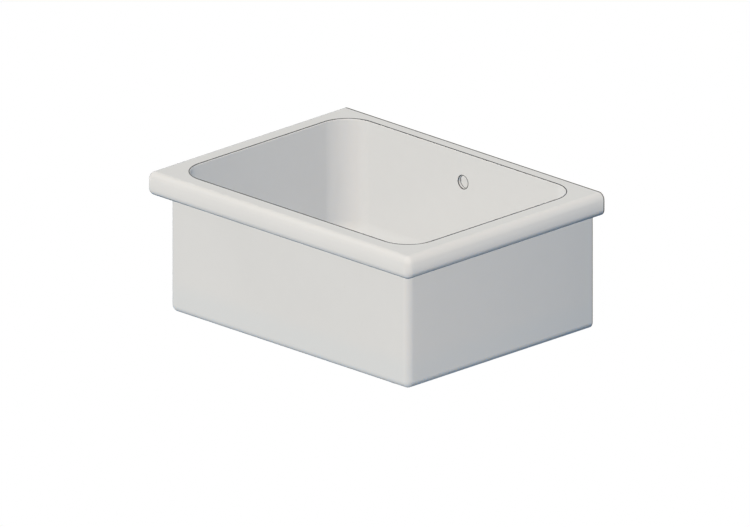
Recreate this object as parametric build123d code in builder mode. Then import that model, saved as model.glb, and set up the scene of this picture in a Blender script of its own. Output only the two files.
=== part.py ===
"""Ceramic utility sink with an overhanging rim, a built-in overflow and a basket waste.

Millimetres, +Z up. The origin is on the wall face, on the centre line, level with the
underside of the rim. The wall face is Y = 0 and the front of the sink looks along -Y.
"""

import os
from math import cos, radians, sin

from build123d import *

# Stoneware body
sink_width = 600.0
sink_depth = 450.0
rim_height = 40.0
box_height = 200.0
rim_overhang = 27.0
wall_thickness = 9.0
rim_edge_radius = 12.0
rim_root_radius = 3.0
box_edge_radius = 12.0
bowl_corner_radius = 50.0
bowl_floor_radius = 38.0
bowl_lip_radius = 1.5
corner_margin = 2.0

# Overflow passage inside the back wall and the floor
overflow_diameter = 22.0
overflow_drop = 50.0
duct_skin = 6.0
duct_gap = 10.0
duct_backing = 8.0
duct_width = 40.0
duct_headroom = 3.0
duct_roof = 9.0
duct_bed = 8.0

# Underside of the floor
foot_width = 50.0
floor_shell = 15.0
foot_corner_radius = 30.0
rib_width = 64.0
rib_corner_radius = 15.0
boss_margin = 9.0
boss_setback = 3.0
recess_edge_radius = 1.5

# Waste hole and the dish around it
waste_hole_diameter = 90.0
dish_width = 40.0
dish_fall = 3.0
dish_margin = 3.0
seat_margin = 3.5

# Strainer cup, pressed from stainless sheet
cup_sheet = 1.2
cup_flange_lead = 0.5
cup_annulus = 5.0
cup_depth = 38.7
cup_bend_radius = 4.0
cup_lip_radius = 3.0
cup_slot_count = 4
cup_slot_radius = 17.0
cup_slot_width = 9.0
cup_slot_arc = 50.0
cup_seal_thickness = 1.5
clamp_seal_width = 7.0
seal_inset = 2.0

# Waste body, moulded in plastic
body_seal_thickness = 3.0
body_flange_thickness = 6.0
body_flange_radius = 56.0
body_wall = 3.5
body_annulus = 3.5
chamber_height = 13.0
funnel_height = 16.0
hub_radius = 9.0
hub_length = 19.0
hub_shoulder = 4.0
spoke_count = 3
spoke_thickness = 4.0
spoke_heading = 90.0
spoke_drop = 2.0
gusset_count = 8
gusset_thickness = 4.0
spigot_wall = 5.4
spigot_length = 20.0
insert_radius = 6.0
insert_length = 12.0

# Centre screw that clamps the cup to the body
screw_radius = 4.0
screw_head_radius = 7.0
screw_head_height = 4.5
screw_engagement = 9.0
washer_radius = 9.0
washer_thickness = 1.2
driver_slot_width = 1.6
driver_slot_depth = 1.4
socket_depth = 3.6

# Outlet tube and its union nut
tube_radius = 20.0
tube_wall = 1.8
tube_length = 50.0
tube_collar_width = 3.4
tube_collar_thickness = 2.0
outlet_washer_thickness = 2.0
nut_wall = 4.0
nut_floor = 4.0
nut_hole_gap = 1.0
nut_overlap = 12.0
nut_lobe_count = 12
nut_lobe_radius = 2.4

# Lift-out basket with its stopper seal, hung on a central pin
basket_sheet = 0.8
basket_height = 25.0
basket_gap = 2.8
basket_rim_gap = 0.6
basket_bend_radius = 3.0
basket_lip_radius = 1.6
basket_slot_count = 20
basket_slot_length = 13.0
basket_slot_width = 3.2
basket_hole_count = 20
basket_hole_radius = 2.0
seal_web_thickness = 2.5
seal_lip_width = 4.0
seal_lip_flare = 1.0
seal_overlap = 2.5
seal_plate_thickness = 1.0
seal_plate_margin = 4.0
pin_radius = 3.0
pin_shoulder_radius = 6.0
pin_shoulder_height = 2.5
pin_post_radius = 3.5
pin_post_height = 14.7
pin_tip_radius = 2.6
pin_groove_depth = 0.6
pin_spigot_radius = 2.5
pin_spigot_length = 8.0
clip_radius = 5.5
clip_thickness = 0.8
clip_mouth = 3.4
knob_radius = 10.0
knob_waist_radius = 6.0
knob_height = 14.0
knob_cap_height = 6.0
knob_edge_radius = 2.0

# Clearances
running_gap = 0.3
head_gap = 0.8
collar_gap = 0.8
thread_gap = 0.1
bolt_hole_gap = 0.5

# Heights and places worked out from the sizes above
rim_land = wall_thickness + rim_overhang
back_land = duct_skin + duct_gap + duct_backing
floor_thickness = duct_roof + duct_gap + duct_bed
box_width = sink_width - 2 * rim_overhang
box_depth = sink_depth - rim_overhang
bowl_width = sink_width - 2 * rim_land
bowl_length = sink_depth - rim_land - back_land
bowl_centre_y = -back_land - bowl_length / 2
bowl_floor = floor_thickness - box_height
floor_curve = min(bowl_floor_radius, bowl_corner_radius - corner_margin)
overflow_level = rim_height - overflow_drop
duct_top = overflow_level + overflow_diameter / 2 + duct_headroom
duct_bottom = duct_bed - box_height

waste_hole_radius = waste_hole_diameter / 2
cup_radius = waste_hole_radius - cup_annulus
cup_bore_radius = cup_radius - cup_sheet
cup_flange_radius = body_flange_radius + cup_flange_lead
clamp_seal_bore = body_flange_radius - seal_inset - clamp_seal_width
seat_radius = cup_flange_radius + seat_margin
dish_radius = seat_radius + dish_width
waste_y = -(back_land + floor_curve + dish_radius + dish_margin)
boss_radius = body_flange_radius + boss_margin
boss_level = boss_setback - box_height
recess_edge = min(recess_edge_radius, boss_setback / 2)

seat_level = bowl_floor - dish_fall
flange_underside = seat_level + cup_seal_thickness
flange_top = flange_underside + cup_sheet
cup_base = flange_top - cup_depth
cup_floor = cup_base + cup_sheet

body_top = boss_level - body_seal_thickness
body_flange_base = body_top - body_flange_thickness
chamber_radius = cup_radius + body_annulus
chamber_base = cup_base - spoke_drop - chamber_height
funnel_base = chamber_base - funnel_height
spigot_end = funnel_base - spigot_length
hub_base = cup_base - hub_length
insert_top = cup_base - hub_shoulder
insert_base = insert_top - insert_length

washer_top = cup_floor + washer_thickness
head_top = washer_top + screw_head_height
screw_end = insert_top - screw_engagement

nut_top = spigot_end + nut_overlap
collar_top = spigot_end - outlet_washer_thickness
collar_base = collar_top - tube_collar_thickness
nut_base = collar_base - nut_floor
tube_end = collar_top - tube_length
tube_bore_radius = tube_radius - tube_wall
collar_radius = tube_radius + tube_collar_width
nut_bore_radius = collar_radius + collar_gap
nut_radius = nut_bore_radius + nut_wall
spigot_radius = nut_bore_radius - running_gap
spigot_bore_radius = spigot_radius - spigot_wall

clip_base = head_top + head_gap
plate_base = clip_base + clip_thickness
web_base = plate_base + seal_plate_thickness
basket_base = web_base + seal_web_thickness
basket_floor = basket_base + basket_sheet
basket_top = basket_base + basket_height
basket_radius = cup_bore_radius - basket_gap
basket_bore_radius = basket_radius - basket_sheet
basket_rim_radius = cup_bore_radius - basket_rim_gap
seal_lip_base = cup_floor + running_gap
seal_bore_radius = cup_slot_radius + cup_slot_width / 2 + seal_overlap
seal_radius = seal_bore_radius + seal_lip_width
basket_hole_ring = (seal_radius + basket_radius - basket_bend_radius) / 2
shoulder_top = basket_floor + pin_shoulder_height
knob_base = shoulder_top + pin_post_height
knob_top = knob_base + knob_height
groove_radius = pin_tip_radius - pin_groove_depth
socket_radius = pin_tip_radius + running_gap
pin_tip = head_top - socket_depth + running_gap

waste_section = Plane.XZ.offset(-waste_y)
waste_axis = Axis((0, waste_y, 0), (0, 0, 1))


def turned_face(*points):
    """Face in the waste's upright section, bounded by (radius, height) points in order."""
    with BuildSketch(waste_section) as section:
        with BuildLine():
            Polyline(*points, close=True)
        make_face()
    return section.sketch


def ring_face(inner, outer, low, high):
    """Rectangular section of a flat ring, or of a disc where the inner radius is zero."""
    return turned_face((inner, low), (outer, low), (outer, high), (inner, high))


def upright_planes(count, radius, height):
    """Planes around the waste that face outwards, with their X direction straight up."""
    planes = []
    for index in range(count):
        angle = radians(index * 360 / count)
        outward = (cos(angle), sin(angle), 0)
        origin = (radius * cos(angle), waste_y + radius * sin(angle), height)
        planes.append(Plane(origin=origin, x_dir=(0, 0, 1), z_dir=outward))
    return planes


def radial_planes(count, height):
    """Upright planes through the waste's axis, with their X direction pointing outwards."""
    planes = []
    for index in range(count):
        angle = radians(index * 360 / count)
        outward = (cos(angle), sin(angle), 0)
        across = (sin(angle), -cos(angle), 0)
        planes.append(Plane(origin=(0, waste_y, height), x_dir=outward, z_dir=across))
    return planes


def round_sheet_bends(base_radius, lip_radius, sheet):
    """Round a flanged cup's bends, at its base and under its flange, to an even sheet."""
    levels = edges().filter_by(GeomType.CIRCLE).group_by(Axis.Z)
    base_outside = levels[0].sort_by(SortBy.RADIUS)[-1]
    base_inside = levels[1].sort_by(SortBy.RADIUS)[-1]
    lip_outside = levels[-2].sort_by(SortBy.RADIUS)[0]
    lip_inside = levels[-1].sort_by(SortBy.RADIUS)[0]
    fillet(base_outside, radius=base_radius)
    fillet(base_inside, radius=base_radius - sheet)
    fillet(lip_inside, radius=lip_radius)
    fillet(lip_outside, radius=lip_radius - sheet)


def save(builder, name):
    """Label a finished piece and write it under its own name."""
    builder.part.label = name
    export_step(builder.part, f"parts/{name}.step")


os.makedirs("parts", exist_ok=True)

# Basin: rim slab and box in one casting, with the bowl, the overflow passage and the foot
with BuildPart() as basin:
    with BuildSketch(Plane.XY):
        with Locations((0, -sink_depth / 2)):
            Rectangle(sink_width, sink_depth)
    extrude(amount=rim_height)
    rim_corners = edges().filter_by(Axis.Z).group_by(Axis.Y)[0]
    rim_upper = edges().group_by(Axis.Z)[-1].sort_by(Axis.Y)[:-1]
    rim_lower = edges().group_by(Axis.Z)[0].sort_by(Axis.Y)[:-1]
    fillet(rim_corners + rim_upper + rim_lower, radius=rim_edge_radius)

    with BuildSketch(Plane.XY):
        with Locations((0, -box_depth / 2)):
            Rectangle(box_width, box_depth)
    extrude(amount=-box_height)
    box_edges = edges(Select.LAST)
    box_corners = box_edges.filter_by(Axis.Z).group_by(Axis.Y)[0]
    box_lower = box_edges.group_by(Axis.Z)[0].sort_by(Axis.Y)[:-1]
    fillet(box_corners + box_lower, radius=box_edge_radius)
    ledge = faces().filter_by(Axis.Z).sort_by(Axis.Z)[1]
    root_side = box_width / 2 + rim_root_radius
    root_front = -box_depth - rim_root_radius
    rim_root = ledge.edges().filter_by(
        lambda edge: abs(edge.center().X) < root_side and edge.center().Y > root_front
    )
    fillet(rim_root, radius=rim_root_radius)

    with BuildSketch(Plane.XY.offset(rim_height)):
        with Locations((0, bowl_centre_y)):
            RectangleRounded(bowl_width, bowl_length, bowl_corner_radius)
    extrude(amount=bowl_floor - rim_height, mode=Mode.SUBTRACT)
    fillet(edges(Select.LAST).group_by(Axis.Z)[0], radius=floor_curve)
    bowl_mouth = faces().sort_by(Axis.Z)[-1].inner_wires()[0].edges()
    fillet(bowl_mouth, radius=bowl_lip_radius)

    dish_section = turned_face(
        (0, bowl_floor),
        (dish_radius, bowl_floor),
        (seat_radius, seat_level),
        (waste_hole_radius, seat_level),
        (waste_hole_radius, -box_height),
        (0, -box_height),
    )
    revolve(dish_section, axis=waste_axis, mode=Mode.SUBTRACT)

    recess_width = box_width - 2 * foot_width
    recess_length = box_depth - 2 * foot_width
    with BuildSketch(Plane.XY.offset(-box_height)):
        with Locations((0, -box_depth / 2)):
            RectangleRounded(recess_width, recess_length, foot_corner_radius)
    extrude(amount=boss_setback, mode=Mode.SUBTRACT)
    foot_face = faces().sort_by(Axis.Z)[0]
    fillet(foot_face.inner_wires()[0].edges(), radius=recess_edge)
    with BuildSketch(Plane.XY.offset(boss_level)):
        with Locations((0, -box_depth / 2)):
            RectangleRounded(recess_width, recess_length, foot_corner_radius)
        with Locations((0, waste_y)):
            Circle(boss_radius, mode=Mode.SUBTRACT)
        with Locations((0, waste_y / 2)):
            Rectangle(rib_width, -waste_y, mode=Mode.SUBTRACT)
        rib_corners = vertices().filter_by(
            lambda corner: abs(corner.X) < rib_width / 2 + corner_margin
        )
        fillet(rib_corners, radius=rib_corner_radius)
    extrude(amount=bowl_floor - floor_shell - boss_level, mode=Mode.SUBTRACT)

    with BuildSketch(Plane.XY.offset(duct_bottom)):
        with Locations((0, -duct_backing - duct_gap / 2)):
            Rectangle(duct_width, duct_gap)
    extrude(amount=duct_top - duct_bottom, mode=Mode.SUBTRACT)
    with BuildSketch(Plane.XY.offset(duct_bottom)):
        with Locations((0, (waste_y - duct_backing) / 2)):
            Rectangle(duct_width, -waste_y - duct_backing)
    extrude(amount=duct_gap, mode=Mode.SUBTRACT)
    with BuildSketch(Plane.XZ.offset(back_land)):
        with Locations((0, overflow_level)):
            Circle(overflow_diameter / 2)
    extrude(amount=-duct_skin - duct_gap / 2, mode=Mode.SUBTRACT)
save(basin, "basin")

# Seals above and below the floor, set in from the edges of the flanges that clamp them
with BuildPart() as cup_seal:
    revolve(
        ring_face(
            clamp_seal_bore,
            cup_flange_radius - seal_inset,
            seat_level,
            flange_underside,
        ),
        axis=waste_axis,
    )
save(cup_seal, "cup_seal")

with BuildPart() as body_seal:
    revolve(
        ring_face(
            clamp_seal_bore,
            body_flange_radius - seal_inset,
            body_top,
            boss_level,
        ),
        axis=waste_axis,
    )
save(body_seal, "body_seal")

# Strainer cup: flange, straight wall and a floor with drain slots around the screw hole
with BuildPart() as strainer_cup:
    revolve(
        turned_face(
            (0, cup_base),
            (cup_radius, cup_base),
            (cup_radius, flange_underside),
            (cup_flange_radius, flange_underside),
            (cup_flange_radius, flange_top),
            (cup_bore_radius, flange_top),
            (cup_bore_radius, cup_floor),
            (0, cup_floor),
        ),
        axis=waste_axis,
    )
    round_sheet_bends(cup_bend_radius, cup_lip_radius, cup_sheet)
    with BuildLine(mode=Mode.PRIVATE) as slot_line:
        CenterArc((0, 0), cup_slot_radius, -cup_slot_arc / 2, cup_slot_arc)
    with BuildSketch(Plane.XY.offset(cup_base)):
        with Locations((0, waste_y)):
            Circle(screw_radius + bolt_hole_gap)
            with PolarLocations(0, cup_slot_count):
                SlotArc(slot_line.wire(), cup_slot_width)
    extrude(amount=cup_sheet, mode=Mode.SUBTRACT)
save(strainer_cup, "strainer_cup")

# Waste body: clamping flange, chamber, funnel and threaded spigot, with a hub on spokes
with BuildPart() as waste_body:
    revolve(
        turned_face(
            (chamber_radius, body_top),
            (body_flange_radius, body_top),
            (body_flange_radius, body_flange_base),
            (chamber_radius + body_wall, body_flange_base),
            (chamber_radius + body_wall, chamber_base),
            (spigot_radius, funnel_base),
            (spigot_radius, spigot_end),
            (spigot_bore_radius, spigot_end),
            (spigot_bore_radius, funnel_base),
            (chamber_radius, chamber_base),
        ),
        axis=waste_axis,
    )
    revolve(ring_face(0, hub_radius, hub_base, cup_base), axis=waste_axis)
    spoke_reach = chamber_radius + body_wall / 2
    with BuildSketch(Plane.XY.offset(chamber_base)):
        with Locations((0, waste_y)):
            with PolarLocations(spoke_reach / 2, spoke_count, start_angle=spoke_heading):
                Rectangle(spoke_reach, spoke_thickness)
    extrude(amount=chamber_height)
    with BuildSketch(*radial_planes(gusset_count, body_flange_base)):
        with BuildLine():
            Polyline(
                (spoke_reach, 0),
                (body_flange_radius - seal_inset, 0),
                (spoke_reach, chamber_base - body_flange_base),
                close=True,
            )
        make_face()
    extrude(amount=gusset_thickness / 2, both=True)
    revolve(
        turned_face(
            (0, hub_base),
            (insert_radius + thread_gap, hub_base),
            (insert_radius + thread_gap, insert_top),
            (screw_radius + bolt_hole_gap, insert_top),
            (screw_radius + bolt_hole_gap, cup_base),
            (0, cup_base),
        ),
        axis=waste_axis,
        mode=Mode.SUBTRACT,
    )
save(waste_body, "waste_body")

# Threaded insert in the hub, held up against the hub's shoulder by the screw
with BuildPart() as hub_insert:
    revolve(
        ring_face(screw_radius + thread_gap, insert_radius, insert_base, insert_top),
        axis=waste_axis,
    )
save(hub_insert, "hub_insert")

with BuildPart() as screw_washer:
    revolve(
        ring_face(screw_radius + bolt_hole_gap, washer_radius, cup_floor, washer_top),
        axis=waste_axis,
    )
save(screw_washer, "screw_washer")

# Centre screw: slotted head with a socket that guides the basket's pin
with BuildPart() as centre_screw:
    revolve(
        turned_face(
            (0, screw_end),
            (screw_radius, screw_end),
            (screw_radius, washer_top),
            (screw_head_radius, washer_top),
            (screw_head_radius, head_top),
            (socket_radius, head_top),
            (socket_radius, head_top - socket_depth),
            (0, head_top - socket_depth),
        ),
        axis=waste_axis,
    )
    with BuildSketch(Plane.XY.offset(head_top)):
        with Locations((0, waste_y)):
            Rectangle(2 * screw_head_radius, driver_slot_width)
    extrude(amount=-driver_slot_depth, mode=Mode.SUBTRACT)
save(centre_screw, "centre_screw")

# Outlet: a collared tube drawn up to the spigot by a lobed union nut
with BuildPart() as outlet_washer:
    revolve(
        ring_face(spigot_bore_radius, spigot_radius, collar_top, spigot_end),
        axis=waste_axis,
    )
save(outlet_washer, "outlet_washer")

with BuildPart() as outlet_tube:
    revolve(
        turned_face(
            (tube_bore_radius, tube_end),
            (tube_radius, tube_end),
            (tube_radius, collar_base),
            (collar_radius, collar_base),
            (collar_radius, collar_top),
            (tube_bore_radius, collar_top),
        ),
        axis=waste_axis,
    )
save(outlet_tube, "outlet_tube")

with BuildPart() as outlet_nut:
    with BuildSketch(Plane.XY.offset(nut_base)):
        with Locations((0, waste_y)):
            Circle(nut_radius)
            with PolarLocations(nut_radius, nut_lobe_count):
                Circle(nut_lobe_radius)
    extrude(amount=nut_top - nut_base)
    revolve(
        turned_face(
            (0, nut_base),
            (tube_radius + nut_hole_gap, nut_base),
            (tube_radius + nut_hole_gap, collar_base),
            (nut_bore_radius, collar_base),
            (nut_bore_radius, nut_top),
            (0, nut_top),
        ),
        axis=waste_axis,
        mode=Mode.SUBTRACT,
    )
save(outlet_nut, "outlet_nut")

# Basket: turned-out rim, slotted wall and a ring of drain holes outside the stopper seal
with BuildPart() as strainer_basket:
    revolve(
        turned_face(
            (pin_radius + thread_gap, basket_base),
            (basket_radius, basket_base),
            (basket_radius, basket_top - basket_sheet),
            (basket_rim_radius, basket_top - basket_sheet),
            (basket_rim_radius, basket_top),
            (basket_bore_radius, basket_top),
            (basket_bore_radius, basket_floor),
            (pin_radius + thread_gap, basket_floor),
        ),
        axis=waste_axis,
    )
    round_sheet_bends(basket_bend_radius, basket_lip_radius, basket_sheet)
    slot_level = (basket_floor + basket_bend_radius + basket_top - basket_sheet) / 2
    with BuildSketch(*upright_planes(basket_slot_count, basket_radius, slot_level)):
        SlotOverall(basket_slot_length, basket_slot_width)
    extrude(amount=2 * basket_sheet, both=True, mode=Mode.SUBTRACT)
    with BuildSketch(Plane.XY.offset(basket_base)):
        with Locations((0, waste_y)):
            with PolarLocations(basket_hole_ring, basket_hole_count):
                Circle(basket_hole_radius)
    extrude(amount=basket_sheet, mode=Mode.SUBTRACT)
save(strainer_basket, "strainer_basket")

# Stopper seal: a rubber cap whose flared skirt closes on the cup's floor around the slots
with BuildPart() as basket_seal:
    revolve(
        turned_face(
            (pin_radius + thread_gap, web_base),
            (seal_bore_radius, web_base),
            (seal_bore_radius, seal_lip_base),
            (seal_radius + seal_lip_flare, seal_lip_base),
            (seal_radius, web_base),
            (seal_radius, basket_base),
            (pin_radius + thread_gap, basket_base),
        ),
        axis=waste_axis,
    )
save(basket_seal, "basket_seal")

with BuildPart() as seal_plate:
    revolve(
        ring_face(
            pin_radius + thread_gap,
            seal_bore_radius - seal_plate_margin,
            plate_base,
            web_base,
        ),
        axis=waste_axis,
    )
save(seal_plate, "seal_plate")

# Pin: tip in the screw's socket, grooved for the clip, shouldered on the basket's floor
with BuildPart() as basket_pin:
    revolve(
        turned_face(
            (0, pin_tip),
            (pin_tip_radius, pin_tip),
            (pin_tip_radius, clip_base),
            (groove_radius, clip_base),
            (groove_radius, plate_base),
            (pin_radius, plate_base),
            (pin_radius, basket_floor),
            (pin_shoulder_radius, basket_floor),
            (pin_shoulder_radius, shoulder_top),
            (pin_post_radius, shoulder_top),
            (pin_post_radius, knob_base),
            (pin_spigot_radius, knob_base),
            (pin_spigot_radius, knob_base + pin_spigot_length),
            (0, knob_base + pin_spigot_length),
        ),
        axis=waste_axis,
    )
save(basket_pin, "basket_pin")

with BuildPart() as pin_clip:
    revolve(
        ring_face(groove_radius + thread_gap, clip_radius, clip_base, plate_base),
        axis=waste_axis,
    )
    with BuildSketch(Plane.XY.offset(clip_base)):
        with Locations((0, waste_y - clip_radius / 2)):
            Rectangle(clip_mouth, clip_radius)
    extrude(amount=clip_thickness, mode=Mode.SUBTRACT)
save(pin_clip, "pin_clip")

with BuildPart() as basket_knob:
    knob_shoulder = knob_top - knob_cap_height
    revolve(
        turned_face(
            (0, knob_base),
            (knob_waist_radius, knob_base),
            (knob_waist_radius, knob_shoulder),
            (knob_radius, knob_shoulder),
            (knob_radius, knob_top),
            (0, knob_top),
        ),
        axis=waste_axis,
    )
    knob_rims = edges().filter_by(GeomType.CIRCLE).sort_by(SortBy.RADIUS)[-2:]
    fillet(knob_rims, radius=knob_edge_radius)
    revolve(
        ring_face(
            0,
            pin_spigot_radius + thread_gap,
            knob_base,
            knob_base + pin_spigot_length,
        ),
        axis=waste_axis,
        mode=Mode.SUBTRACT,
    )
save(basket_knob, "basket_knob")
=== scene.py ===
"""Ceramic utility sink: finishes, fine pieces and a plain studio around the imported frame.

Metres, +Z up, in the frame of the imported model: the wall face is Y = 0, the rim's
underside is Z = 0 and the front of the sink looks along -Y.
"""

import logging
import math
from dataclasses import dataclass
from enum import Enum
from typing import Any, Sequence

import bmesh
import bpy
import numpy as np
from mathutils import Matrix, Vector


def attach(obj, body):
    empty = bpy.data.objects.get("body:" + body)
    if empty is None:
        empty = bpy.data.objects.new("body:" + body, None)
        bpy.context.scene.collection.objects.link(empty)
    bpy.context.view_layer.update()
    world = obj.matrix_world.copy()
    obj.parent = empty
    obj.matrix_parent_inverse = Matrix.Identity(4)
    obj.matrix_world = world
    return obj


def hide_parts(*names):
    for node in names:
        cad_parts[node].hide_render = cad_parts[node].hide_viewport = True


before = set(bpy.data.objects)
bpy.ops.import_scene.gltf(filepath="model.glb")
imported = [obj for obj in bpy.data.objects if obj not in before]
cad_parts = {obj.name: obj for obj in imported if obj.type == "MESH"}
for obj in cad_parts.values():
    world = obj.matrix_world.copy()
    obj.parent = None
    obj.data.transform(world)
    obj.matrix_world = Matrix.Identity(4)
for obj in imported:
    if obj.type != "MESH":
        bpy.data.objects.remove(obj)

Socket = bpy.types.NodeSocket
Colour = tuple[float, float, float]
Point = tuple[float, float, float]
Span = tuple[float, float]
Input = Socket | float | Sequence[float]

log = logging.getLogger("sink")

PHOTO_WIDTH = 750
STARTUP_OBJECTS = ("Cube", "Light", "Camera")
MERGE_REACH = 1e-7
TINY_SQUARE = 1e-9
FULL_TURN = 2 * math.pi
WHITE: Colour = (1.0, 1.0, 1.0)
UPRIGHT: Point = (0.0, 0.0, 1.0)
WASTE_CENTRE: Point = (0.0, -0.165, 0.0)


class Rider(Enum):
    """Moving bodies that a piece can ride on."""

    SINK = "sink"
    BASKET = "basket"


class Slot(Enum):
    """Material slots of the record."""

    CERAMIC = "ceramic_glaze"
    SHEET = "stainless_sheet"
    FASTENER = "fastener_steel"
    KNOB = "polished_knob"
    RUBBER = "black_rubber"
    PLASTIC = "waste_plastic"
    BRASS = "brass_insert"


def rgba(colour: Colour) -> tuple[float, float, float, float]:
    """Give a colour its full opacity."""
    return (*colour, 1.0)


class Sheet:
    """Lays out the nodes of one shader tree."""

    def __init__(self, tree: bpy.types.NodeTree) -> None:
        """Start on an empty tree."""
        self.tree = tree
        tree.nodes.clear()

    def add(
        self, kind: str, inputs: dict[str | int, Input] | None = None, **settings: Any
    ) -> bpy.types.Node:
        """Add one node.

        Args:
            kind: The node's type name.
            inputs: Sockets to link, or values to set, by socket name or place.
            settings: Properties of the node itself.

        Returns:
            The new node.
        """
        node = self.tree.nodes.new(kind)
        for name, value in settings.items():
            setattr(node, name, value)
        for key, value in (inputs or {}).items():
            if isinstance(value, Socket):
                self.tree.links.new(value, node.inputs[key])
            else:
                node.inputs[key].default_value = value
        return node

    def math(
        self, operation: str, first: Input, second: Input = 0.0, third: Input = 0.0
    ) -> Socket:
        """Work out one sum, product or other scalar operation."""
        values = {0: first, 1: second, 2: third}
        return self.add("ShaderNodeMath", values, operation=operation).outputs[0]

    def chain(self, operation: str, first: Input, *others: Input) -> Socket:
        """Work out one scalar operation over several values in turn.

        Args:
            operation: The operation's name.
            first: The value to start from.
            others: The values that follow it.

        Returns:
            The result.
        """
        for other in others:
            first = self.math(operation, first, other)
        return first

    def product(self, first: Input, *others: Input) -> Socket:
        """Multiply values."""
        return self.chain("MULTIPLY", first, *others)

    def largest(self, first: Input, *others: Input) -> Socket:
        """Keep the largest of several values."""
        return self.chain("MAXIMUM", first, *others)

    def vector(self, operation: str, first: Input, second: Input = (0.0, 0.0, 0.0)) -> Socket:
        """Work out one vector operation that gives a vector."""
        inputs = {0: first, 1: second}
        return self.add("ShaderNodeVectorMath", inputs, operation=operation).outputs[0]

    def scaled(self, vector: Input, share: Input) -> Socket:
        """Multiply a vector or colour by a value."""
        inputs = {0: vector, "Scale": share}
        return self.add("ShaderNodeVectorMath", inputs, operation="SCALE").outputs[0]

    def rise(self, value: Input, low: Input, high: Input) -> Socket:
        """Smooth step: 0 where the value is at low, 1 where it is at high."""
        inputs = {"Value": value, "From Min": low, "From Max": high}
        return self.add("ShaderNodeMapRange", inputs, interpolation_type="SMOOTHSTEP").outputs[0]

    def ramp(self, value: Input, low: float, high: float) -> Socket:
        """Straight step: 0 where the value is at low, 1 where it is at high."""
        inputs = {"Value": value, "From Min": low, "From Max": high}
        return self.add("ShaderNodeMapRange", inputs).outputs[0]

    def blend(self, factor: Input, low: Input, high: Input) -> Socket:
        """Mix two colours."""
        inputs = {0: factor, 6: low, 7: high}
        return self.add("ShaderNodeMix", inputs, data_type="RGBA").outputs[2]

    def between(self, factor: Input, low: Input, high: Input) -> Socket:
        """Mix two values."""
        inputs = {0: factor, 2: low, 3: high}
        return self.add("ShaderNodeMix", inputs, data_type="FLOAT").outputs[0]

    def noise(self, vector: Input, scale: Input, detail: float = 2.0) -> Socket:
        """Noise between 0 and 1, with that many waves to the metre."""
        inputs = {"Vector": vector, "Scale": scale, "Detail": detail}
        return self.add("ShaderNodeTexNoise", inputs).outputs[0]

    def cells(self, vector: Input, scale: Input) -> bpy.types.NodeOutputs:
        """Scattered cells, each with the distance from its middle and a colour of its own."""
        inputs = {"Vector": vector, "Scale": scale}
        return self.add("ShaderNodeTexVoronoi", inputs).outputs

    def place(self) -> Socket:
        """Object coordinates, which are the frame's own metres."""
        return self.add("ShaderNodeTexCoord").outputs["Object"]

    def axes(self, vector: Input) -> tuple[Socket, Socket, Socket]:
        """Split a vector into its three parts."""
        parts = self.add("ShaderNodeSeparateXYZ", {0: vector}).outputs
        return parts[0], parts[1], parts[2]


class Effect(Enum):
    """Shared shader effects, each one node group."""

    CLOUD = "soft_cloud"
    OUTLINE = "rounded_outline"
    TURNING = "turning_marks"
    HANDLING = "handling_marks"
    GRAIN = "moulded_grain"


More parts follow.
